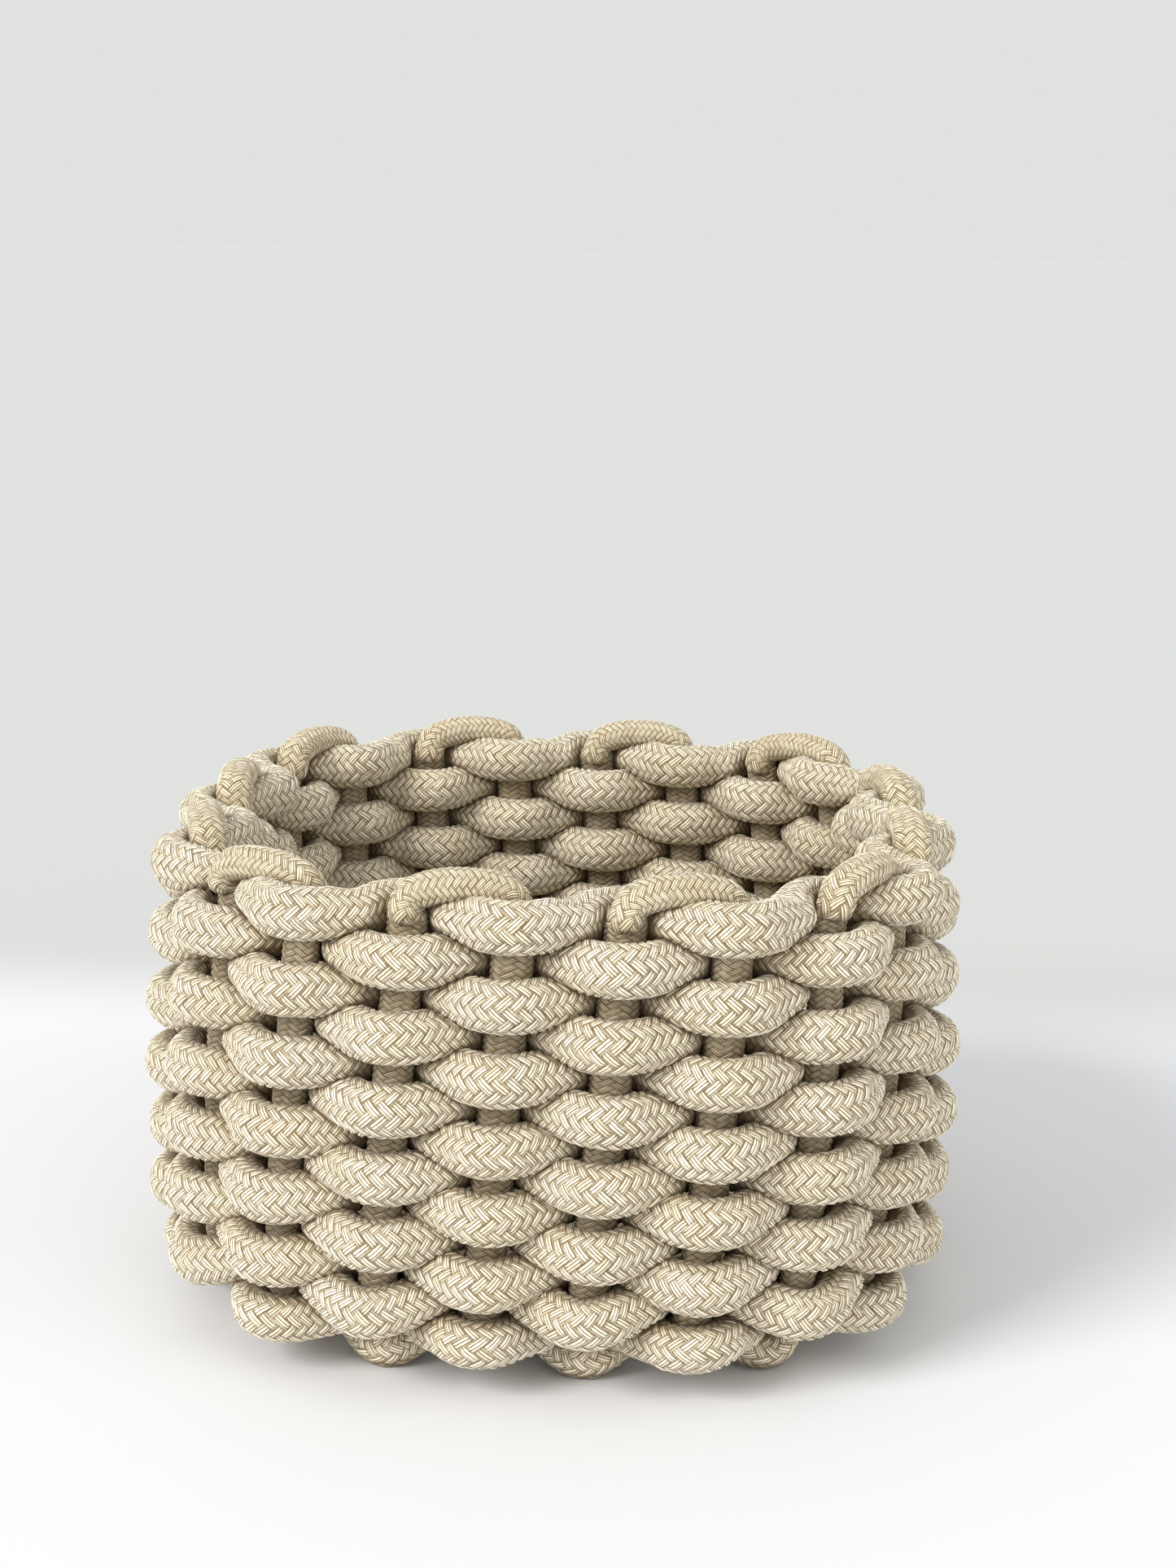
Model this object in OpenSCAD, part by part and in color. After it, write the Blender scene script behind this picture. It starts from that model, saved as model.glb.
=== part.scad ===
// Open storage basket, plain-woven from braided cotton rope.
//
// Fourteen thick ropes (wefts) lie one above the other as closed rings. They pass
// in front of and behind twenty-four thinner uprights. The uprights are twelve
// ropes, each bent in half over the top ring, so two legs run down the wall side
// by side. Every leg turns under at the foot and crosses the base, where the legs
// of the four sides are woven together.
//
// Millimetres, +Z up. The origin is the centre of the footprint on the surface
// that the basket stands on. -Y is the front.

/* [Basket] */
// Half the width of the wall, measured at the middle of its thickness
wall_half = 100; // [95:1:110]
// Squareness of the plan: 2 is a circle, higher is squarer
plan_power = 3; // [2.6:0.1:3.2]
// How far the wall swells outwards halfway up
barrel = 2.5; // [0:0.5:4]
// Sideways drift of the uprights for each millimetre of height
lean = 0.075; // [0:0.005:0.1]

/* [Rope] */
// Diameter of the thick rope that rings the basket
weft_d = 14; // [13:0.5:14.5]
// Diameter of the thinner rope of the uprights
stake_d = 10.5; // [9.5:0.5:11]

/* [Weave] */
// Distance between the two lowest rings, along the wall
row_pitch_low = 8.7; // [8.5:0.1:9.5]
// Distance between the two highest rings
row_pitch_high = 10.2; // [9.5:0.1:11]
// Radius of the foot, where the wall turns under
foot_r = 13; // [12:0.5:14]
// Spacing of the ropes in the middle of the base
lane_pitch = 16; // [15.5:0.25:16]

/* [Hidden] */
ROWS = 14;
SIDES = 4;
SIDE_STAKES = 6;
STAKES = SIDES * SIDE_STAKES;
LOOPS = STAKES / 2;
LANES = 10;

// Rope sections: "tall" is along the wall and "deep" is through it.
WEFT_SIDES = 8;
STAKE_SIDES = 7;
RINGS_PER_STAKE = 3;
weft_deep_over = 0.81 * weft_d;
weft_deep_pass = 1.18 * weft_d;
weft_tall_pass = row_pitch_low - 0.2;
stake_wide = 1.07 * stake_d;
stake_deep = 0.65 * stake_d;
base_wide = 0.97 * stake_d;
base_deep = 0.7 * stake_d;
weave_gap = 0.15;
crossing_gap = 0.9;

// Swing of a ring to each side of the wall's middle, and of the ropes in the base
weft_swing = weft_deep_over / 2 + stake_deep / 2 + weave_gap;
base_swing = base_deep / 2 + crossing_gap / 2;

// Heights: the lowest ring presses on the floor, and the woven base is just clear of it
floor_press = 1;
floor_gap = 0.4;
foot_z = weft_swing + weft_deep_over / 2 - floor_press;
base_z = base_swing + base_deep / 2 + floor_gap;
foot_arc = foot_r * PI / 2;
first_row = 1;

beige = [0.83, 0.74, 0.58];
dark_beige = [0.74, 0.65, 0.49];

function two_digits(n) = str(n < 10 ? "0" : "", n);

// ---- Plan: an even walk round a rounded square, counter-clockwise from the front

PLAN_STEP = 3;

function plan_radius(angle) =
    wall_half / pow(pow(abs(cos(angle)), plan_power) + pow(abs(sin(angle)), plan_power), 1 / plan_power);

function plan_at_angle(angle) = plan_radius(angle) * [cos(angle), sin(angle)];

// Pairs of walked length and angle, once round from the middle of the front
plan_walk = [
    for (angle = -90, walked = 0;
        angle <= 270;
        walked = walked + norm(plan_at_angle(angle + PLAN_STEP) - plan_at_angle(angle)),
        angle = angle + PLAN_STEP)
        [walked, angle]
];
plan_length = plan_walk[len(plan_walk) - 1][0];
stake_pitch = plan_length / STAKES;

function wrap(walk) = walk - plan_length * floor(walk / plan_length);
function plan_point(walk) = plan_at_angle(lookup(wrap(walk), plan_walk));
function plan_tangent(walk) = unit(plan_point(walk + 1) - plan_point(walk - 1));
function plan_outward(walk) = let (t = plan_tangent(walk)) [t.y, -t.x];

function unit(v) = v / norm(v);

// ---- Wall: "climb" is measured up the wall's middle, from where the foot leaves the base

function foot_turn(climb) = max(0, min(90, 90 * climb / foot_arc));
function wall_z(climb) =
    foot_z + foot_r * (1 - cos(foot_turn(climb))) + max(0, climb - foot_arc);
function wall_inset(climb) =
    foot_r * (1 - sin(foot_turn(climb))) - min(0, climb);

wall_top = first_row + (ROWS - 1) * (row_pitch_low + row_pitch_high) / 2;
function swell(climb) = barrel * sin(180 * max(0, min(1, climb / wall_top)));

// A point on the fabric, "out" millimetres outside its middle
function wall_point(walk, climb, out) =
    let (
        turn = foot_turn(climb),
        reach = out * sin(turn) + swell(climb) - wall_inset(climb),
        flat = plan_point(walk) + reach * plan_outward(walk)
    )
    [flat.x, flat.y, wall_z(climb) - out * cos(turn)];

// Climb of each ring, row 1 being the top one
function row_climb(row) =
    let (
        rows_up = ROWS - row,
        growth = (row_pitch_high - row_pitch_low) / (2 * (ROWS - 1))
    )
    first_row + rows_up * row_pitch_low + rows_up * rows_up * growth;

// How far each of the lowest rings moves up the wall, lowest ring first. Behind the
// uprights they spread apart, as the foot crowds them there
INNER_SHIFT = [-7, -3, 3.5, 3.2, 2.4, 1.8, 1.2, 0.6];
OUTER_SHIFT = [0, 4, 0, 0, 0, 0, 0, 0];
function ring_climb(row, side) =
    let (rows_up = ROWS - row)
    row_climb(row) + (rows_up < len(INNER_SHIFT)
        ? (INNER_SHIFT[rows_up] * (1 - side) + OUTER_SHIFT[rows_up] * (1 + side)) / 2
        : 0);

// Walk of an upright at a height; uprights 0 to 5 are on the front, left to right
function stake_walk(stake, climb) =
    (stake - (SIDE_STAKES - 1) / 2) * stake_pitch + lean * max(0, climb - first_row);

// ---- Sweep: a closed skin over rings of points

function frame_point(centre, wide, deep, wide_dir, deep_dir, angle) =
    centre + wide_dir * (wide / 2 * cos(angle)) + deep_dir * (deep / 2 * sin(angle));

// One section square to "along", with its deep axis as near to "facing" as it goes
function section(centre, along, facing, wide, deep, sides) =
    let (
        wide_dir = unit(cross(along, facing)),
        deep_dir = unit(cross(wide_dir, along)),
        flat_fit = 1 / sqrt(cos(180 / sides))
    )
    [for (i = [0 : sides - 1])
        frame_point(centre, wide * flat_fit, deep * flat_fit, wide_dir, deep_dir, 360 * (i + 0.5) / sides)];

function skin_faces(rings, sides, closed) = [
    for (ring = [0 : rings - (closed ? 1 : 2)], i = [0 : sides - 1], half = [0, 1])
        let (
            a = ring * sides + i,
            b = ring * sides + (i + 1) % sides,
            c = ((ring + 1) % rings) * sides + (i + 1) % sides,
            d = ((ring + 1) % rings) * sides + i
        )
        half == 0 ? [a, b, c] : [a, c, d]
];

module ring_skin(sections) {
    sides = len(sections[0]);
    polyhedron(
        points = [for (s = sections, p = s) p],
        faces = skin_faces(len(sections), sides, true)
    );
}

module rod_skin(sections) {
    sides = len(sections[0]);
    last = (len(sections) - 1) * sides;
    polyhedron(
        points = [for (s = sections, p = s) p],
        faces = concat(
            skin_faces(len(sections), sides, false),
            [[for (i = [sides - 1 : -1 : 0]) i]],
            [[for (i = [0 : sides - 1]) last + i]]
        )
    );
}

// ---- Rings

// Where a ring is across the wall: 1 in front of an upright, -1 behind it
function weft_side(row, walk) =
    let (
        climb = row_climb(row),
        stakes_along = (walk - stake_walk(0, climb)) / stake_pitch
    )
    (row % 2 == 1 ? 1 : -1) * cos(180 * stakes_along);

function weft_centre(row, walk) =
    let (side = weft_side(row, walk))
    wall_point(walk, ring_climb(row, side), weft_swing * side);

// A ring is flattened by its neighbours where it passes between two uprights
function roundness(side) = pow(abs(side), 3);
function weft_tall(side) = weft_tall_pass + (weft_d - weft_tall_pass) * roundness(side);
function weft_deep(side) = weft_deep_pass + (weft_deep_over - weft_deep_pass) * roundness(side);

function weft_section(row, step) =
    let (
        walk = stake_walk(0, row_climb(row)) + step * stake_pitch / RINGS_PER_STAKE,
        side = weft_side(row, walk),
        climb = ring_climb(row, side),
        centre = weft_centre(row, walk),
        along = weft_centre(row, walk + 1) - weft_centre(row, walk - 1),
        up_wall = wall_point(walk, climb + 1, 0) - wall_point(walk, climb - 1, 0)
    )
    section(centre, along, cross(up_wall, along), weft_tall(side), weft_deep(side), WEFT_SIDES);

module weft(row) {
    ring_skin([for (step = [0 : STAKES * RINGS_PER_STAKE - 1]) weft_section(row, step)]);
}

// The lowest ring is pressed flat where it stands on the floor
module floor_cut() {
    cut = 4 * wall_half;
    translate([-cut / 2, -cut / 2, -weft_d])
        cube([cut, cut, weft_d]);
}

module standing_weft() {
    difference() {
        weft(ROWS);
        floor_cut();
    }
}

// ---- Uprights and base

// The lane in which a leg crosses the base, counted from the base's middle
function leg_lane(place) = min(2 * place, 2 * (SIDE_STAKES - 1) - 1) - (LANES - 1) / 2;

// Lanes draw together towards the edges of the base, as its corners are round
EDGE_DRAW = 0.19;
function lane_offset(lane, across) =
    let (edge = across / ((LANES - 1) / 2))
    lane * lane_pitch * (1 - EDGE_DRAW * edge * edge);

function turned(p, side) =
    let (a = 90 * side)
    [p.x * cos(a) - p.y * sin(a), p.x * sin(a) + p.y * cos(a), p.z];

// Over or under: each crossing is the opposite of its neighbours
function crossing_sign(lane, across) = (lane + across + LANES) % 2 == 0 ? 1 : -1;

function crossing(lane, across, side) =
    turned([
        lane_offset(lane, across),
        lane_offset(across, lane),
        base_z + base_swing * crossing_sign(lane, across)
    ], side);

// A corner leg meets the one from the other side, so it stops at the middle
TAIL = 7;
function base_points(stake) =
    let (
        side = floor(stake / SIDE_STAKES),
        place = stake % SIDE_STAKES,
        lane = leg_lane(place),
        outer = (LANES - 1) / 2,
        last = place == 0 || place == SIDE_STAKES - 1 ? -0.5 : outer,
        end = crossing(lane, last, side),
        inward = turned([0, 1, 0], side)
    )
    concat(
        [end + TAIL * inward + [0, 0, (base_z - end.z)]],
        [for (across = [last : -1 : -outer]) crossing(lane, across, side)]
    );

WALL_STOPS = 3;
function leg_points(stake) =
    let (
        top = row_climb(1),
        foot = [0, 0.3, 0.65, 1] * foot_arc,
        wall = [for (i = [1 : WALL_STOPS]) foot_arc + (top - foot_arc) * i / WALL_STOPS]
    )
    [for (climb = concat(foot, wall)) wall_point(stake_walk(stake, climb), climb, 0)];

// The bend over the top ring, from an outer leg to the next leg, inside it
ARCH_STOPS = 6;
ARCH_BASE = 2;
ARCH_FLATNESS = 0.8;
arch_tall = 0.86 * stake_d;
arch_deep = 1.04 * stake_d;
arch_rise = weft_tall_pass / 2 + arch_tall / 2 - 0.3 - ARCH_BASE;
ARCH_CROSS = 1.5;
function arch_points(stake) =
    let (
        top = row_climb(1),
        middle = stake_walk(stake + 0.5, top)
    )
    [for (i = [0 : ARCH_STOPS])
        let (a = 180 * i / ARCH_STOPS)
        wall_point(
            middle - stake_pitch / 2 * cos(a),
            top + ARCH_BASE + arch_rise * pow(sin(a), ARCH_FLATNESS),
            ARCH_CROSS * cos(a)
        )];

function reversed(list) = [for (i = [len(list) - 1 : -1 : 0]) list[i]];

// Which way is out of the fabric: down in the base, sideways in the wall
function fabric_out(p) =
    let (
        high = max(0, min(1, (p.z - base_z) / (foot_z + foot_r - base_z))),
        flat = unit([p.x, p.y, 0])
    )
    unit(flat * high + [0, 0, -1] * (1 - high + 0.001));

function at(list, i) = list[max(0, min(len(list) - 1, i))];

function rope_section(route, i, wide, deep) =
    section(route[i], at(route, i + 1) - at(route, i - 1), fabric_out(route[i]), wide, deep, STAKE_SIDES);

module stake(loop) {
    outer_leg = 2 * loop - 1;
    inner_leg = (outer_leg + 1) % STAKES;
    down = concat(base_points(outer_leg), leg_points(outer_leg));
    up = concat(base_points(inner_leg), leg_points(inner_leg));
    arch = arch_points(outer_leg);
    route = concat(down, arch, reversed(up));
    rod_skin([for (i = [0 : len(route) - 1])
        let (
            from_end = min(i, len(route) - 1 - i),
            in_wall = from_end >= len(base_points(outer_leg)),
            in_arch = i >= len(down) && i < len(down) + len(arch)
        )
        rope_section(route, i,
            in_arch ? arch_tall : in_wall ? stake_wide : base_wide,
            in_arch ? arch_deep : in_wall ? stake_deep : base_deep)]);
}

for (row = [1 : ROWS - 1])
    color(beige) weft(row);
color(beige) standing_weft();
for (loop = [1 : LOOPS])
    color(dark_beige) stake(loop);
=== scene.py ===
"""Looks of the rope storage basket: each rope as a tubular braid, on the routes of the CAD model.

Routes and sections are in millimetres, as in part.scad, and meshes are made in metres.
"""

import math

import bpy
import numpy as np
from mathutils import Matrix, Vector


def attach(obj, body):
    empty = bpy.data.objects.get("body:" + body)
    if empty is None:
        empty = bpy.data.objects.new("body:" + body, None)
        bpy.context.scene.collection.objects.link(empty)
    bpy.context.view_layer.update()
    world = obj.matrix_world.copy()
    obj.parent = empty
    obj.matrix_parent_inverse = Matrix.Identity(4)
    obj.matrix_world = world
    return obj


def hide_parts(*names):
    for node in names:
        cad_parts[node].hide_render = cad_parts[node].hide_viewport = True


MM = 0.001
TINY = 1e-9

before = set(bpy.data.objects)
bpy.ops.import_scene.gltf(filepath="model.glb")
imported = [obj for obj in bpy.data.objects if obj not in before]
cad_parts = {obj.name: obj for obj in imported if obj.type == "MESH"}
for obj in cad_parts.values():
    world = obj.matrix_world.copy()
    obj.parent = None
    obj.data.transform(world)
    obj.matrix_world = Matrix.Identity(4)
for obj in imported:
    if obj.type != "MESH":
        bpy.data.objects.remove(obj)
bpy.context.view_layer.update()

# ---- Sizes, as in part.scad, except for WEFT_DEEP_PASS, WEFT_TALL_PASS, FULL_FROM, BASE_WIDE and
# BASE_DEEP. Midway between uprights the rings are taller and less deep here than in the CAD solids, and
# the base ropes are a little thicker.

WALL_HALF = 100.0
PLAN_POWER = 3.0
PLAN_STEPS = 1440
BARREL = 2.5
LEAN = 0.075
WEFT_D = 14.0
STAKE_D = 10.5
ROW_PITCH_LOW = 8.7
ROW_PITCH_HIGH = 10.2
FOOT_R = 13.0
LANE_PITCH = 16.0

ROWS = 14
SIDE_STAKES = 6
STAKES = 4 * SIDE_STAKES
LOOPS = STAKES // 2
LANES = 10

WEFT_DEEP_OVER = 0.81 * WEFT_D
WEFT_DEEP_PASS = 1.10 * WEFT_D
WEFT_TALL_PASS = ROW_PITCH_LOW + 2.4
FULL_FROM = 0.6
STAKE_WIDE = 1.07 * STAKE_D
STAKE_DEEP = 0.65 * STAKE_D
BASE_WIDE = 1.0 * STAKE_D
BASE_DEEP = 0.74 * STAKE_D
BASE_LIE = 0.7 * STAKE_D
WEAVE_GAP = 0.15
CROSSING_GAP = 0.9

WEFT_SWING = WEFT_DEEP_OVER / 2 + STAKE_DEEP / 2 + WEAVE_GAP
BASE_SWING = BASE_LIE / 2 + CROSSING_GAP / 2
FLOOR_PRESS = 1.0
FLOOR_GAP = 0.4
FOOT_Z = WEFT_SWING + WEFT_DEEP_OVER / 2 - FLOOR_PRESS
BASE_Z = BASE_SWING + BASE_LIE / 2 + FLOOR_GAP
FOOT_ARC = FOOT_R * math.pi / 2
FIRST_ROW = 1.0
INNER_SHIFT = (-7, -3, 3.5, 3.2, 2.4, 1.8, 1.2, 0.6)
OUTER_SHIFT = (0, 4, 0, 0, 0, 0, 0, 0)
EDGE_DRAW = 0.19
TAIL = 7.0
ARCH_BASE = 2.0
ARCH_FLATNESS = 0.8
ARCH_TALL = 0.86 * STAKE_D
ARCH_DEEP = 1.04 * STAKE_D
ARCH_SINK = 0.4
ARCH_RISE = ROW_PITCH_LOW / 2 + ARCH_TALL / 2 - ARCH_SINK - ARCH_BASE
ARCH_CROSS = 1.5
ARCH_STOPS = 6

# Points along the routes: shares of the foot turn, steps up the wall, and spacing of the curves
FOOT_STOPS = (0, 0.3, 0.65, 1)
WALL_STOPS = 3
CURVE_SPACING = 0.8
BASE_TILT = 0.001
RING_SAMPLES = STAKES * 120

# ---- Braid: carriers round each rope, steps of the mesh across a strand, and the strands' size.
# Strands of one family go over two of the other, then under two: a cycle of four.

BRAID_CYCLE = 4
WEFT_CARRIERS = 24
STAKE_CARRIERS = 20
STRAND_STEPS = 3
STRAND_LENGTH_SHARE = 0.177
STRAND_RELIEF = 0.032
STRAND_SINK = 0.6
STRAND_END_DROP = 0.75
FLOAT_UNEVEN = 0.12
EDGE_NEAR = 0.01
ROPE_END = 0.15

# ---- Unevenness, which the CAD solids don't have: how far each value wanders, and the first seeds

CLIMB_WANDER = 0.35
OUT_WANDER = 0.4
THICK_WANDER = 0.02
WEFT_TWIST = 0.5
WEFT_TWIST_WAVES = 9
WEFT_TURN = 0.8
STAKE_TWIST = 0.4
STAKE_TWIST_WAVES = 7
STAKE_TURN = 0.7
SEED_CLIMB = 100
SEED_OUT = 200
SEED_THICK = 300
SEED_WEFT_TWIST = 400
SEED_WEFT_BRAID = 500
SEED_STAKE_TWIST = 600
SEED_STAKE_BRAID = 700


# ---- Plan of the wall: a superellipse, walked round from the middle of the front


def plan_at_angle(angle):
    c, s = np.cos(angle), np.sin(angle)
    radius = WALL_HALF / (np.abs(c) ** PLAN_POWER + np.abs(s) ** PLAN_POWER) ** (1 / PLAN_POWER)
    return np.stack([radius * c, radius * s], axis=-1)


PLAN_ANGLES = np.radians(np.linspace(-90.0, 270.0, PLAN_STEPS + 1))
PLAN_POINTS = plan_at_angle(PLAN_ANGLES)
PLAN_WALK = np.append(0.0, np.cumsum(np.linalg.norm(np.diff(PLAN_POINTS, axis=0), axis=1)))
PLAN_LENGTH = PLAN_WALK[-1]
STAKE_PITCH = PLAN_LENGTH / STAKES


def plan_point(walk):
    return plan_at_angle(np.interp(np.mod(walk, PLAN_LENGTH), PLAN_WALK, PLAN_ANGLES))


def unit(v):
    return v / np.maximum(np.linalg.norm(v, axis=-1, keepdims=True), TINY)


def plan_outward(walk):
    """The direction straight out of the plan's edge."""
    t = unit(plan_point(walk + 1.0) - plan_point(walk - 1.0))
    return np.stack([t[..., 1], -t[..., 0]], axis=-1)


# ---- Wall: "climb" goes up the middle of the wall from where the foot leaves the base


def foot_turn(climb):
    """Angle of the wall as it turns up from the base."""
    return np.clip(np.pi / 2 * climb / FOOT_ARC, 0, np.pi / 2)


WALL_TOP = FIRST_ROW + (ROWS - 1) * (ROW_PITCH_LOW + ROW_PITCH_HIGH) / 2


def wall_point(walk, climb, out):
    """A point on the wall, or "out" from its middle surface."""
    walk, climb, out = np.broadcast_arrays(walk, climb, out)
    turn = foot_turn(climb)
    inset = FOOT_R * (1 - np.sin(turn)) - np.minimum(0, climb)
    swell = BARREL * np.sin(np.pi * np.clip(climb / WALL_TOP, 0, 1))
    reach = out * np.sin(turn) + swell - inset
    flat = plan_point(walk) + reach[..., None] * plan_outward(walk)
    z = FOOT_Z + FOOT_R * (1 - np.cos(turn)) + np.maximum(0, climb - FOOT_ARC) - out * np.cos(turn)
    return np.concatenate([flat, z[..., None]], axis=-1)


def row_climb(row):
    """Height of a row along the wall. Rows are a little further apart towards the rim."""
    up = ROWS - row
    growth = (ROW_PITCH_HIGH - ROW_PITCH_LOW) / (2 * (ROWS - 1))
    return FIRST_ROW + up * ROW_PITCH_LOW + up * up * growth


def stake_walk(stake, climb):
    """Place of an upright round the wall. Uprights lean a little as they climb."""
    return (stake - (SIDE_STAKES - 1) / 2) * STAKE_PITCH + LEAN * np.maximum(0, climb - FIRST_ROW)


def smooth(x):
    x = np.clip(x, 0, 1)
    return x * x * (3 - 2 * x)


def wander(length, wave, seed):
    """A smooth closed curve of random values from about -1 to 1, one for each sample."""
    draw = np.random.default_rng(seed)
    knots = draw.uniform(-1, 1, wave)
    at = np.linspace(0, wave, length, endpoint=False)
    low = np.floor(at).astype(int)
    share = smooth(at - low)
    return knots[low % wave] * (1 - share) + knots[(low + 1) % wave] * share


# ---- A rope: centre, directions and section along its length, then the braid on its surface


class Route:
    """A rope's centre line with its section: tall and deep across it, in two directions."""

    def __init__(self, centre, facing, tall, deep, closed):
        self.closed = closed
        if closed:
            along = np.roll(centre, -1, axis=0) - np.roll(centre, 1, axis=0)
        else:
            along = np.gradient(centre, axis=0)
        along = unit(along)
        self.tall_dir = unit(np.cross(along, facing))
        self.deep_dir = unit(np.cross(self.tall_dir, along))
        self.centre, self.tall, self.deep = centre, tall, deep
        steps = np.linalg.norm(np.diff(centre, axis=0), axis=1)
        if closed:
            steps = np.append(steps, np.linalg.norm(centre[0] - centre[-1]))
        self.at = np.concatenate([[0.0], np.cumsum(steps)])
        self.length = self.at[-1]

    def sample(self, values, s):
        """Values at lengths s along the rope, which wraps round where it is closed."""
        values = np.asarray(values, dtype=float)
        if self.closed:
            values = np.concatenate([values, values[:1]])
            s = np.mod(s, self.length)
        if values.ndim == 1:
            return np.interp(s, self.at, values)
        return np.stack([np.interp(s, self.at, values[:, k]) for k in range(values.shape[1])], axis=-1)


def strand_height(a, b):
    """Height from 0 to 1 at braid coordinates a and b, which count the strands of each family."""
    i, j = np.round(a), np.round(b)
    over = np.mod(i + j, BRAID_CYCLE)
    first = over < BRAID_CYCLE / 2
    across = np.where(first, a - i, b - j)
    along = np.where(first, b - j + over - 0.5, a - i + over - 2.5)
    return np.maximum(0, 1 - np.abs(2 * across) ** 3) * (1 - STRAND_END_DROP * along**4)


def groove_height(a, b):
    """The strand height, taken as the lower side where strands meet."""
    steps = (-EDGE_NEAR, EDGE_NEAR)
    sides = [strand_height(a + x, b + y) for x in steps for y in steps]
    return np.minimum.reduce(sides)


def float_of(a, b, carriers, count):
    """The float at a and b: whether the first family is on top, its strands and its own two numbers."""
    i, j = np.round(a).astype(int), np.round(b).astype(int)
    over = np.mod(i + j, BRAID_CYCLE)
    first = over < BRAID_CYCLE / 2
    i0, j0 = np.where(first, i, i - over + 2), np.where(first, j - over, j)
    return first, i, j, np.mod(i0 + j0, carriers), np.mod(j0 - i0, 2 * count)


def rope_sections(route, s, diameter):
    """Tall and deep at lengths s, rounded off at the ends of an open rope."""
    tall = route.sample(route.tall, s)[..., None]
    deep = route.sample(route.deep, s)[..., None]
    if route.closed:
        return tall, deep
    end = np.clip(np.minimum(s, route.length - s) / (diameter / 2), 0, 1)
    round_end = np.sqrt(1 - (1 - end) ** 2)[..., None]
    share = ROPE_END + (1 - ROPE_END) * round_end
    return tall * share, deep * share


def surface_points(route, s, angle, bump, diameter):
    """Points round the rope's oval section, raised along its normals by the strands."""
    centre = route.sample(route.centre, s)
    tall_dir = unit(route.sample(route.tall_dir, s))
    deep_dir = unit(route.sample(route.deep_dir, s))
    tall, deep = rope_sections(route, s, diameter)
    height = STRAND_RELIEF * diameter
    inner_tall, inner_deep = tall / 2 - height * STRAND_SINK, deep / 2 - height * STRAND_SINK
    c, d = np.cos(angle)[..., None], np.sin(angle)[..., None]
    normal = unit(tall_dir * c / inner_tall + deep_dir * d / inner_deep)
    points = centre + tall_dir * inner_tall * c + deep_dir * inner_deep * d
    return points + normal * (height * bump)[..., None]


def lattice_faces(rows, around, closed):
    """Diamond faces: the four corners of each, outward side first, and which of them are real."""
    p, r = np.arange(around)[None, :], np.arange(rows)[:, None]
    odd = p % 2
    right, far = (p + 1) % around, (p + 2) % around
    up, down = r + odd, r - 1 + odd
    if closed:
        real = np.ones((rows, around), dtype=bool)
        up, down = up % rows, down % rows
    else:
        real = (up < rows) & (down >= 0)
    corners = [r * around + p, up * around + right, r * around + far, down * around + right]
    return np.stack(corners, axis=-1)[real], real


def end_caps(rows, around, first_tip):
    """Triangles from each end's ring of points to its tip."""
    ring = np.arange(around)
    following = (ring + 1) % around
    tail = (rows - 1) * around
    first_cap = np.stack([np.full(around, first_tip), ring, following], axis=-1)
    last_cap = np.stack([np.full(around, first_tip + 1), tail + following, tail + ring], axis=-1)
    return np.concatenate([first_cap, last_cap])


def mesh_piece(name, verts, loops, totals, attributes):
    mesh = bpy.data.meshes.new(name)
    mesh.vertices.add(len(verts))
    mesh.vertices.foreach_set("co", (verts * MM).astype(np.float32).reshape(-1))
    mesh.loops.add(len(loops))
    mesh.loops.foreach_set("vertex_index", loops.astype(np.int32))
    mesh.polygons.add(len(totals))
    mesh.polygons.foreach_set("loop_start", (np.cumsum(totals) - totals).astype(np.int32))
    mesh.polygons.foreach_set("loop_total", totals.astype(np.int32))
    mesh.update(calc_edges=True)
    mesh.shade_smooth()
    for label, domain, values in attributes:
        layer = mesh.attributes.new(label, "FLOAT", domain)
        layer.data.foreach_set("value", values.astype(np.float32))
    piece = bpy.data.objects.new(name, mesh)
    bpy.context.scene.collection.objects.link(piece)
    return piece


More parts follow.
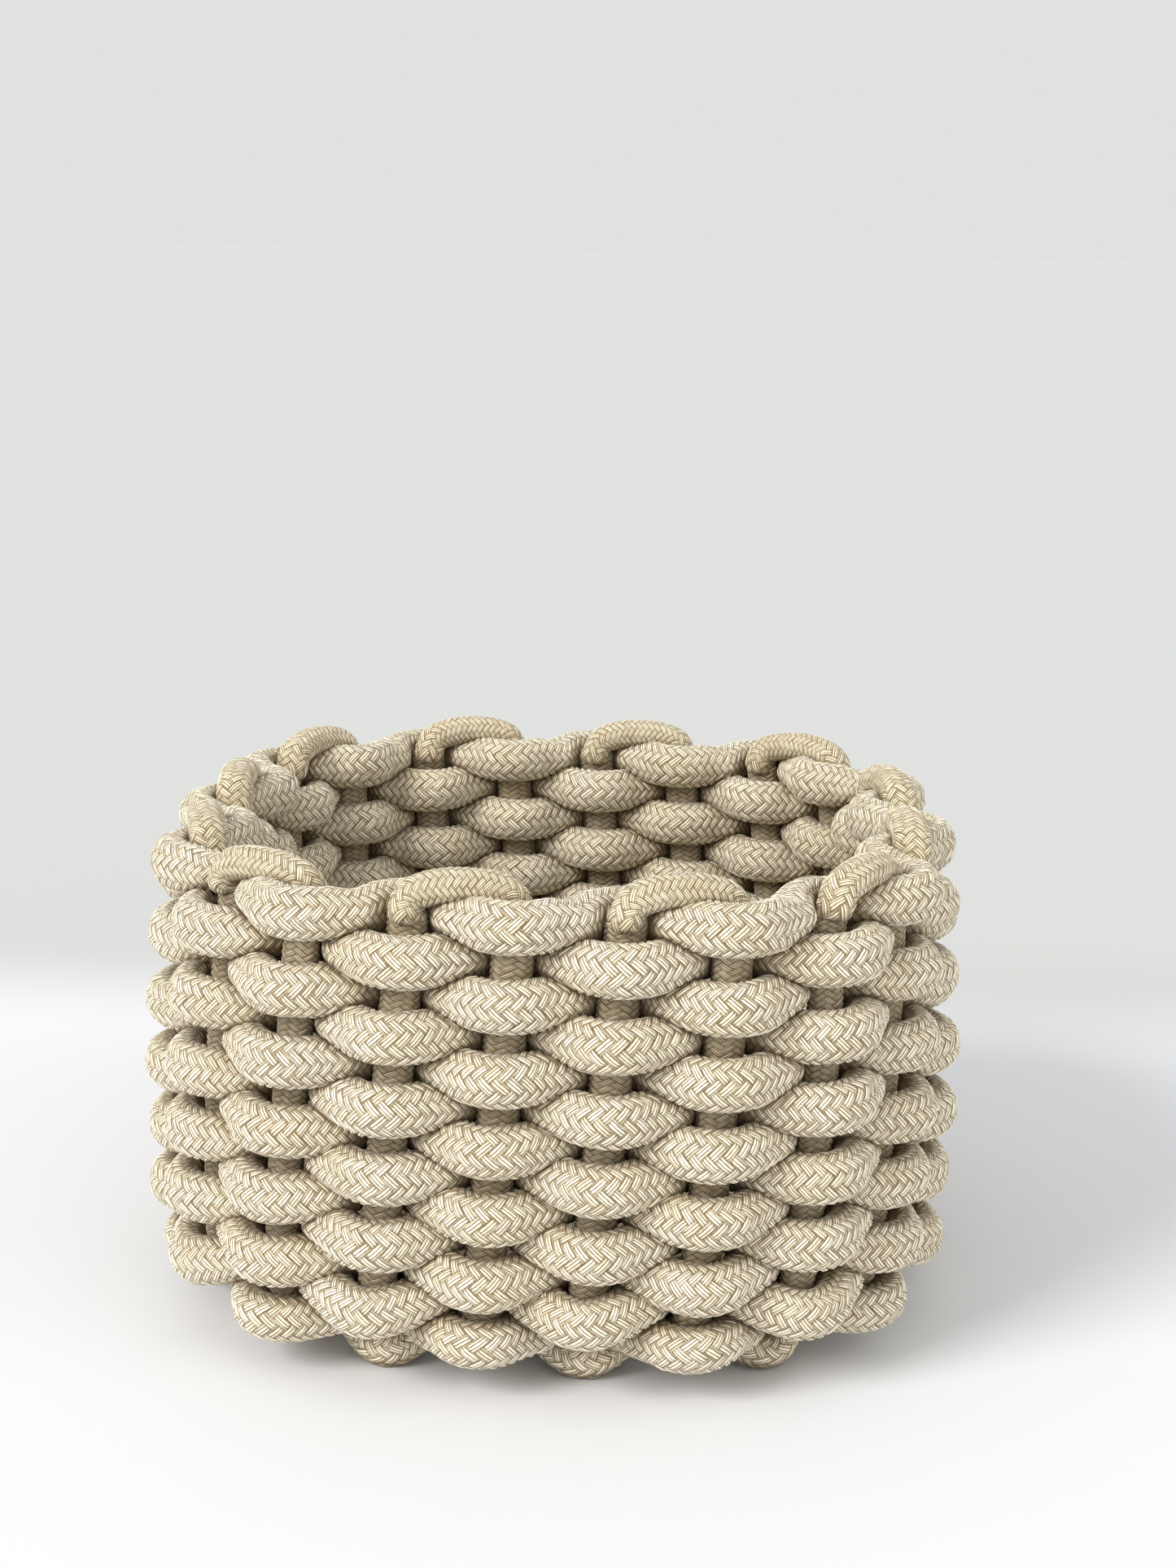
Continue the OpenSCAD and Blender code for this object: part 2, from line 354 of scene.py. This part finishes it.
def braid_mesh(name, route, diameter, carriers, twist, seed):
    """A tube in a two-over, two-under braid. Its faces lie along the strands, which stand proud."""
    m = STRAND_STEPS
    count = int(round(route.length / (STRAND_LENGTH_SHARE * diameter)))
    around, rows = m * carriers, m * count
    p, r = np.arange(around)[None, :], np.arange(rows)[:, None]
    q = 2 * r + p % 2
    # Half a strand on, so that points lie on the strands' edges
    a, b = (p - q) / (2 * m) + 0.5, (p + q) / (2 * m) + 0.5
    s = q * (route.length / count) / (2 * m)

    draw = np.random.default_rng(seed)
    lift = draw.normal(0, 1, (carriers, 2 * count))
    tone = draw.uniform(0, 1, (carriers, 2 * count))
    relief = groove_height(a, b)
    _, _, _, ring_id, row_id = float_of(a + EDGE_NEAR, b + EDGE_NEAR, carriers, count)
    bump = relief * (1 + FLOAT_UNEVEN * lift[ring_id, row_id])
    angle = 2 * np.pi * p / around + route.sample(twist, s)
    verts = surface_points(route, s, angle, bump, diameter).reshape(-1, 3)

    corners, real = lattice_faces(rows, around, route.closed)
    corner_a = np.stack([a, a, a + 1 / m, a + 1 / m], axis=-1)[real]
    corner_b = np.stack([b, b + 1 / m, b + 1 / m, b], axis=-1)[real]
    first, i, j, ring_id, row_id = float_of(corner_a.mean(axis=1), corner_b.mean(axis=1), carriers, count)
    yarn = np.where(first[:, None], corner_a - i[:, None], corner_b - j[:, None]).reshape(-1)
    face_tone = np.repeat(tone[ring_id, row_id], 4)
    relief = relief.reshape(-1)
    loops, totals = corners.reshape(-1), np.full(len(corners), 4)

    if not route.closed:
        caps = end_caps(rows, around, len(verts))
        verts = np.concatenate([verts, [route.centre[0], route.centre[-1]]])
        loops = np.append(loops, caps.reshape(-1))
        totals = np.append(totals, np.full(len(caps), 3))
        yarn = np.append(yarn, np.zeros(caps.size))
        face_tone = np.append(face_tone, np.full(caps.size, 0.5))
        relief = np.append(relief, [0.0, 0.0])
    attributes = (("relief", "POINT", relief), ("yarn", "CORNER", yarn), ("tone", "CORNER", face_tone))
    return mesh_piece(name, verts, loops, totals, attributes)


# ---- Rings


def weft_side(row, walk):
    """From 1 where a ring passes outside an upright to -1 where it passes inside."""
    stakes_along = (walk - stake_walk(0, row_climb(row))) / STAKE_PITCH
    return (1 if row % 2 == 1 else -1) * np.cos(np.pi * stakes_along)


def ring_climb(row, side):
    """Height of a ring along the wall, with the lowest rings' own shifts inside and outside."""
    up = ROWS - row
    if up >= len(INNER_SHIFT):
        return row_climb(row) + 0 * side
    return row_climb(row) + (INNER_SHIFT[up] * (1 - side) + OUTER_SHIFT[up] * (1 + side)) / 2


def weft_route(row):
    walk = np.arange(RING_SAMPLES) * PLAN_LENGTH / RING_SAMPLES
    side = weft_side(row, walk)
    climb = ring_climb(row, side) + CLIMB_WANDER * wander(RING_SAMPLES, STAKES + 5, SEED_CLIMB + row)
    out = WEFT_SWING * side + OUT_WANDER * wander(RING_SAMPLES, STAKES - 3, SEED_OUT + row)
    centre = wall_point(walk, climb, out)
    up_wall = wall_point(walk, climb + 1, 0) - wall_point(walk, climb - 1, 0)
    along = np.roll(centre, -1, axis=0) - np.roll(centre, 1, axis=0)
    full = smooth(np.abs(side) / FULL_FROM)
    thick = 1 + THICK_WANDER * wander(RING_SAMPLES, STAKES * 2 + 1, SEED_THICK + row)
    tall = (WEFT_TALL_PASS + (WEFT_D - WEFT_TALL_PASS) * full) * thick
    deep = (WEFT_DEEP_PASS + (WEFT_DEEP_OVER - WEFT_DEEP_PASS) * full) * thick
    return Route(centre, np.cross(up_wall, along), tall, deep, closed=True)


def build_weft(row):
    sway = wander(RING_SAMPLES, WEFT_TWIST_WAVES, SEED_WEFT_TWIST + row)
    twist = WEFT_TWIST * sway + WEFT_TURN * row
    name = f"braid_weft_{row:02d}"
    piece = braid_mesh(name, weft_route(row), WEFT_D, WEFT_CARRIERS, twist, SEED_WEFT_BRAID + row)
    if row == ROWS:
        press_flat(piece)
    return piece


def press_flat(piece):
    """The lowest ring stands on the floor: nothing reaches below it."""
    data = piece.data
    flat = np.empty(len(data.vertices) * 3, dtype=np.float32)
    data.vertices.foreach_get("co", flat)
    flat = flat.reshape(-1, 3)
    flat[:, 2] = np.maximum(flat[:, 2], 0.0)
    data.vertices.foreach_set("co", flat.reshape(-1))
    data.update()


# ---- Uprights and base


def leg_lane(place):
    """The base lane of a side's upright: every second lane, with the last one beside it."""
    return min(2 * place, 2 * (SIDE_STAKES - 1) - 1) - (LANES - 1) / 2


def lane_offset(lane, across):
    """Sideways place of a lane, drawn in towards the base's edges."""
    edge = across / ((LANES - 1) / 2)
    return lane * LANE_PITCH * (1 - EDGE_DRAW * edge * edge)


def turned(p, side):
    """A point turned by a side's quarter turns."""
    a = math.pi / 2 * side
    c, s = round(math.cos(a)), round(math.sin(a))
    return np.array([p[0] * c - p[1] * s, p[0] * s + p[1] * c, p[2]])


def crossing(lane, across, side):
    """Where two lanes of the base cross, above or below by turns."""
    sign = 1 if int(round(lane + across + LANES)) % 2 == 0 else -1
    z = BASE_Z + BASE_SWING * sign
    return turned([lane_offset(lane, across), lane_offset(across, lane), z], side)


def base_points(stake):
    """The tail of an upright: its end, then its crossings out to the base's edge."""
    side, place = divmod(stake, SIDE_STAKES)
    lane = leg_lane(place)
    outer = (LANES - 1) / 2
    last = -0.5 if place in (0, SIDE_STAKES - 1) else outer
    end = crossing(lane, last, side)
    inward = turned([0, 1, 0], side)
    tail = end + TAIL * inward + np.array([0, 0, BASE_Z - end[2]])
    stops = np.arange(last, -outer - 0.5, -1)
    return [tail] + [crossing(lane, across, side) for across in stops]


def leg_points(stake):
    """An upright from the foot turn to the rim."""
    top = row_climb(1)
    foot = [share * FOOT_ARC for share in FOOT_STOPS]
    wall = [FOOT_ARC + (top - FOOT_ARC) * (i + 1) / WALL_STOPS for i in range(WALL_STOPS)]
    return [wall_point(stake_walk(stake, climb), climb, 0) for climb in foot + wall]


def arch_points(stake):
    """The hairpin over the rim, from one upright to the next."""
    top = row_climb(1)
    middle = stake_walk(stake + 0.5, top)
    points = []
    for i in range(ARCH_STOPS + 1):
        a = math.pi * i / ARCH_STOPS
        walk = middle - STAKE_PITCH / 2 * math.cos(a)
        climb = top + ARCH_BASE + ARCH_RISE * max(0.0, math.sin(a)) ** ARCH_FLATNESS
        points.append(wall_point(walk, climb, ARCH_CROSS * math.cos(a)))
    return points


def spline(points, stations, spacing):
    """Catmull-Rom curve through the points, with the stations' values carried along it."""
    points = np.array(points)
    knots = np.append(0.0, np.cumsum(np.linalg.norm(np.diff(points, axis=0), axis=1) ** 0.5))
    ends = np.concatenate([[2 * points[0] - points[1]], points, [2 * points[-1] - points[-2]]])
    gap = knots[1] - knots[0], knots[-1] - knots[-2]
    times = np.concatenate([[knots[0] - gap[0]], knots, [knots[-1] + gap[1]]])
    curve, values = [], []
    for i in range(len(points) - 1):
        p0, p1, p2, p3 = ends[i:i + 4]
        t0, t1, t2, t3 = times[i:i + 4]
        steps = max(2, int(np.linalg.norm(p2 - p1) / spacing))
        t = np.linspace(t1, t2, steps, endpoint=i == len(points) - 2)[:, None]
        a1 = (t1 - t) / (t1 - t0) * p0 + (t - t0) / (t1 - t0) * p1
        a2 = (t2 - t) / (t2 - t1) * p1 + (t - t1) / (t2 - t1) * p2
        a3 = (t3 - t) / (t3 - t2) * p2 + (t - t2) / (t3 - t2) * p3
        b1 = (t2 - t) / (t2 - t0) * a1 + (t - t0) / (t2 - t0) * a2
        b2 = (t3 - t) / (t3 - t1) * a2 + (t - t1) / (t3 - t1) * a3
        curve.append((t2 - t) / (t2 - t1) * b1 + (t - t1) / (t2 - t1) * b2)
        share = smooth((t - t1) / (t2 - t1))
        values.append(stations[i] * (1 - share) + stations[i + 1] * share)
    return np.concatenate(curve), np.concatenate(values)


def fabric_out(p):
    """Where the uprights face: down under the base, turning to outward up the wall."""
    high = np.clip((p[:, 2] - BASE_Z) / (FOOT_Z + FOOT_R - BASE_Z), 0, 1)[:, None]
    flat = p.copy()
    flat[:, 2] = 0
    down = np.array([0.0, 0.0, -1.0])
    return unit(unit(flat) * high + down * (1 - high + BASE_TILT))


def stake_route(loop):
    """Tail, outer leg, arch over the rim, inner leg and tail."""
    outer_leg = 2 * loop - 1
    inner_leg = (outer_leg + 1) % STAKES
    base_down, base_up = base_points(outer_leg), base_points(inner_leg)
    wall_down, wall_up = leg_points(outer_leg), leg_points(inner_leg)
    arch = arch_points(outer_leg)
    points = base_down + wall_down + arch + (base_up + wall_up)[::-1]
    in_base, in_wall, in_arch = (BASE_WIDE, BASE_DEEP), (STAKE_WIDE, STAKE_DEEP), (ARCH_TALL, ARCH_DEEP)
    sections = [in_base] * len(base_down) + [in_wall] * len(wall_down)
    sections += [in_arch] * len(arch)
    sections += [in_wall] * len(wall_up) + [in_base] * len(base_up)
    centre, size = spline(points, np.array(sections), CURVE_SPACING)
    return Route(centre, fabric_out(centre), size[:, 0], size[:, 1], closed=False)


def build_stake(loop):
    route = stake_route(loop)
    sway = wander(len(route.centre), STAKE_TWIST_WAVES, SEED_STAKE_TWIST + loop)
    twist = STAKE_TWIST * sway + STAKE_TURN * loop
    name = f"braid_stake_{loop:02d}"
    return braid_mesh(name, route, STAKE_D, STAKE_CARRIERS, twist, SEED_STAKE_BRAID + loop)


# ---- Rope material

ROPE_SURFACE = {
    "Roughness": 0.9,
    "Specular IOR Level": 0.1,
    "Sheen Weight": 0.25,
    "Sheen Roughness": 0.5,
    "Sheen Tint": (1.0, 0.96, 0.88, 1),
}
WEFT_LIGHT = (0.97, 0.905, 0.745, 1)
WEFT_DARK = (0.91, 0.82, 0.63, 1)
STAKE_LIGHT = (0.92, 0.83, 0.645, 1)
STAKE_DARK = (0.82, 0.715, 0.515, 1)
# Colour of the painted shade: between the yarns, in the grooves between strands and in occluded places
CREVICE_SHADE = (0.14, 0.08, 0.015, 1)
# Painted shade from ambient occlusion: its share for each rope, how far it looks, the span that is
# shaded, and its samples
WEFT_OCCLUSION_SHADE = 0.93
STAKE_OCCLUSION_SHADE = 0.55
OCCLUSION_SHADE_REACH = 0.008
OCCLUSION_SHADE_RANGE = (0.1, 0.88)
OCCLUSION_SHADE_SAMPLES = 6

PATCH_DETAIL = 3.0
LINE_DETAIL = 2.0
PATCH_SCALE = 45.0
FIBRE_SCALE = 1300.0
GROOVE_SCALE = 260.0
YARN_PATCH_SCALE = 520.0
TONE_SHARE = 0.4
TONE_RANGE = (0.4, 1.0)
YARNS = 3.0
YARN_WOBBLE = 0.12
YARN_OFFSET = 2.0
YARN_PATCHES = -1.2
YARN_RANGE = (-1.5, -0.5)
YARN_SHADE = 0.85
GROOVE_PATCHES = -0.5
GROOVE_LIFT = 0.25
GROOVE_RANGE = (-0.05, 0.7)
GROOVE_SHADE = 0.68
BUMP_STRENGTH = 0.7
BUMP_DEPTH = 0.0002
BUMP_YARNS = 0.8


def node(tree, kind, **values):
    made = tree.nodes.new(kind)
    for key, value in values.items():
        setattr(made, key, value)
    return made


def join(tree, value, socket):
    """Give a socket a plain value, or link another node's output to it."""
    if isinstance(value, (float, tuple)):
        socket.default_value = value
    else:
        tree.links.new(value, socket)


def noise(tree, place, scale, detail):
    made = node(tree, "ShaderNodeTexNoise")
    made.inputs["Scale"].default_value = scale
    made.inputs["Detail"].default_value = detail
    tree.links.new(place, made.inputs["Vector"])
    return made.outputs["Fac"]


def spread(tree, value, span, to_low=0.0, to_high=1.0):
    """A smooth step from to_low to to_high as the value crosses the span."""
    made = node(tree, "ShaderNodeMapRange", interpolation_type="SMOOTHSTEP")
    made.inputs["From Min"].default_value = span[0]
    made.inputs["From Max"].default_value = span[1]
    made.inputs["To Min"].default_value = to_low
    made.inputs["To Max"].default_value = to_high
    tree.links.new(value, made.inputs["Value"])
    return made.outputs[0]


def calculate(tree, operation, *inputs):
    made = node(tree, "ShaderNodeMath", operation=operation)
    for socket, value in zip(made.inputs, inputs):
        join(tree, value, socket)
    return made.outputs[0]


def mix(tree, share, low, high):
    made = node(tree, "ShaderNodeMix", data_type="RGBA")
    join(tree, share, made.inputs["Factor"])
    join(tree, low, made.inputs["A"])
    join(tree, high, made.inputs["B"])
    return made.outputs["Result"]


def yarn_lines(tree, place, across, tone, fibre):
    """From 0 between the fine yarns of a strand to 1 on them, a little uneven."""
    wobble = calculate(tree, "MULTIPLY_ADD", fibre, YARN_WOBBLE, across)
    shifted = calculate(tree, "MULTIPLY_ADD", tone, YARN_OFFSET, wobble)
    wave = calculate(tree, "SINE", calculate(tree, "MULTIPLY", shifted, 2 * math.pi * YARNS))
    patches = noise(tree, place, YARN_PATCH_SCALE, LINE_DETAIL)
    return spread(tree, calculate(tree, "MULTIPLY_ADD", patches, YARN_PATCHES, wave), YARN_RANGE)


def rope_material(name, light, dark, occlusion_shade_share):
    """Cotton braid: soft patches of tone, fine yarn lines with painted shade between the yarns, and
    painted shade in the grooves between strands and in occluded places found by ambient occlusion.
    """
    material = bpy.data.materials.new(name)
    material.use_nodes = True
    tree = material.node_tree
    shader = tree.nodes["Principled BSDF"]
    for socket, value in ROPE_SURFACE.items():
        shader.inputs[socket].default_value = value

    relief = node(tree, "ShaderNodeAttribute", attribute_name="relief").outputs["Fac"]
    tone = node(tree, "ShaderNodeAttribute", attribute_name="tone").outputs["Fac"]
    across = node(tree, "ShaderNodeAttribute", attribute_name="yarn").outputs["Fac"]
    place = node(tree, "ShaderNodeTexCoord").outputs["Object"]
    patch = noise(tree, place, PATCH_SCALE, PATCH_DETAIL)
    fibre = noise(tree, place, FIBRE_SCALE, PATCH_DETAIL)

    toned = calculate(tree, "MULTIPLY_ADD", tone, TONE_SHARE, patch)
    body = mix(tree, spread(tree, toned, TONE_RANGE), dark, light)
    yarn = yarn_lines(tree, place, across, tone, fibre)
    # Painted shade between the fine yarns of each strand
    lined = mix(tree, spread(tree, yarn, (0.0, 1.0), YARN_SHADE, 0.0), body, CREVICE_SHADE)

    # Painted shade in the grooves between strands, deeper or lighter in noise patches
    lifted = calculate(tree, "ADD", relief, GROOVE_LIFT)
    patches = noise(tree, place, GROOVE_SCALE, LINE_DETAIL)
    groove_shade_height = calculate(tree, "MULTIPLY_ADD", patches, GROOVE_PATCHES, lifted)
    grooved = mix(tree, spread(tree, groove_shade_height, GROOVE_RANGE, GROOVE_SHADE, 0.0), lined, CREVICE_SHADE)

    # Painted shade: the colour darkens towards the shade colour where ambient occlusion finds the surface
    # occluded
    occlusion = node(tree, "ShaderNodeAmbientOcclusion", samples=OCCLUSION_SHADE_SAMPLES)
    occlusion.inputs["Distance"].default_value = OCCLUSION_SHADE_REACH
    shade = spread(tree, occlusion.outputs["AO"], OCCLUSION_SHADE_RANGE, occlusion_shade_share, 0.0)
    tree.links.new(mix(tree, shade, grooved, CREVICE_SHADE), shader.inputs["Base Color"])

    bump = node(tree, "ShaderNodeBump")
    bump.inputs["Strength"].default_value = BUMP_STRENGTH
    bump.inputs["Distance"].default_value = BUMP_DEPTH
    tree.links.new(calculate(tree, "MULTIPLY_ADD", yarn, BUMP_YARNS, fibre), bump.inputs["Height"])
    tree.links.new(bump.outputs["Normal"], shader.inputs["Normal"])
    return material


# ---- The basket's pieces

weft_rope = rope_material("weft_rope", WEFT_LIGHT, WEFT_DARK, WEFT_OCCLUSION_SHADE)
stake_rope = rope_material("stake_rope", STAKE_LIGHT, STAKE_DARK, STAKE_OCCLUSION_SHADE)

for row in range(1, ROWS + 1):
    piece = build_weft(row)
    piece.data.materials.append(weft_rope)
    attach(piece, "root")
    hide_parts(f"weft_{row:02d}")
for loop in range(1, LOOPS + 1):
    piece = build_stake(loop)
    piece.data.materials.append(stake_rope)
    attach(piece, "root")
    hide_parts(f"stake_{loop:02d}")


# ---- Floor, light and camera, in metres

FLOOR_HALF = 40.0
FLOOR_WHITE = (0.78, 0.785, 0.81, 1)
FLOOR_GREY = (0.575, 0.583, 0.575, 1)
FLOOR_ROUGHNESS = 0.75
BACK_EDGE = (0.18, 0.30)
FAR_EDGE = (0.7, 2.5)
WALL_GREY = (0.745, 0.755, 0.75, 1)
WORLD_STRENGTH = 1.0

KEY_TOWARD = (0.66, 0.56, -0.58)
KEY_STRENGTH = 2.55
KEY_SOFTNESS = 26.0
KEY_COLOUR = (1.0, 0.985, 0.96)
FILL_TOWARD = (-0.66, 0.56, -0.30)
FILL_STRENGTH = 0.9
FILL_SOFTNESS = 70.0
FILL_COLOUR = (1.0, 0.985, 0.95)

CAMERA_PLACE = (0.0447, -0.6979, 0.3015)
CAMERA_YAW = -3.05
CAMERA_PITCH = -12.73
CAMERA_ROLL = 1.05
CAMERA_LENS = 56.0457
CAMERA_SENSOR = 36.0
CAMERA_NEAR = 0.01


def floor_material():
    """White under the basket, pale grey behind it and far away."""
    material = bpy.data.materials.new("floor")
    material.use_nodes = True
    tree = material.node_tree
    shader = tree.nodes["Principled BSDF"]
    shader.inputs["Roughness"].default_value = FLOOR_ROUGHNESS
    place = node(tree, "ShaderNodeTexCoord").outputs["Object"]
    axes = node(tree, "ShaderNodeSeparateXYZ")
    reach = node(tree, "ShaderNodeVectorMath", operation="LENGTH")
    tree.links.new(place, axes.inputs[0])
    tree.links.new(place, reach.inputs[0])
    back = spread(tree, axes.outputs["Y"], BACK_EDGE)
    far = spread(tree, reach.outputs["Value"], FAR_EDGE)
    grey = calculate(tree, "MAXIMUM", back, far)
    tree.links.new(mix(tree, grey, FLOOR_WHITE, FLOOR_GREY), shader.inputs["Base Color"])
    return material


def stage_floor():
    mesh = bpy.data.meshes.new("floor")
    x = FLOOR_HALF
    mesh.from_pydata([(-x, -x, 0), (x, -x, 0), (x, x, 0), (-x, x, 0)], [], [(0, 1, 2, 3)])
    mesh.materials.append(floor_material())
    floor = bpy.data.objects.new("floor", mesh)
    bpy.context.scene.collection.objects.link(floor)


def sun_light(name, toward, strength, softness, colour):
    data = bpy.data.lights.new(name, "SUN")
    data.energy = strength
    data.angle = math.radians(softness)
    data.color = colour
    lamp = bpy.data.objects.new(name, data)
    lamp.rotation_euler = Vector(toward).to_track_quat("-Z", "Y").to_euler()
    bpy.context.scene.collection.objects.link(lamp)


def world_light(colour, strength):
    world = bpy.data.worlds.new("studio")
    world.use_nodes = True
    background = world.node_tree.nodes["Background"]
    background.inputs["Color"].default_value = colour
    background.inputs["Strength"].default_value = strength
    bpy.context.scene.world = world


def photo_camera():
    """A camera at the photograph's viewing angle."""
    yaw, pitch, roll = (math.radians(a) for a in (CAMERA_YAW, CAMERA_PITCH, CAMERA_ROLL))
    level = math.cos(pitch)
    forward = Vector((math.sin(yaw) * level, math.cos(yaw) * level, math.sin(pitch)))
    side = Vector((math.cos(yaw), -math.sin(yaw), 0))
    top = side.cross(forward)
    right = side * math.cos(roll) + top * math.sin(roll)
    up = top * math.cos(roll) - side * math.sin(roll)
    data = bpy.data.cameras.new("camera")
    data.sensor_fit = "AUTO"
    data.sensor_width = CAMERA_SENSOR
    data.lens = CAMERA_LENS
    data.clip_start = CAMERA_NEAR
    camera = bpy.data.objects.new("camera", data)
    turn = Matrix((right, up, -forward)).transposed()
    camera.matrix_world = Matrix.Translation(CAMERA_PLACE) @ turn.to_4x4()
    bpy.context.scene.collection.objects.link(camera)
    bpy.context.scene.camera = camera


stage_floor()
world_light(WALL_GREY, WORLD_STRENGTH)
sun_light("key", KEY_TOWARD, KEY_STRENGTH, KEY_SOFTNESS, KEY_COLOUR)
sun_light("fill", FILL_TOWARD, FILL_STRENGTH, FILL_SOFTNESS, FILL_COLOUR)
photo_camera()

scene = bpy.context.scene
scene.view_settings.view_transform = "Standard"
scene.view_settings.look = "None"
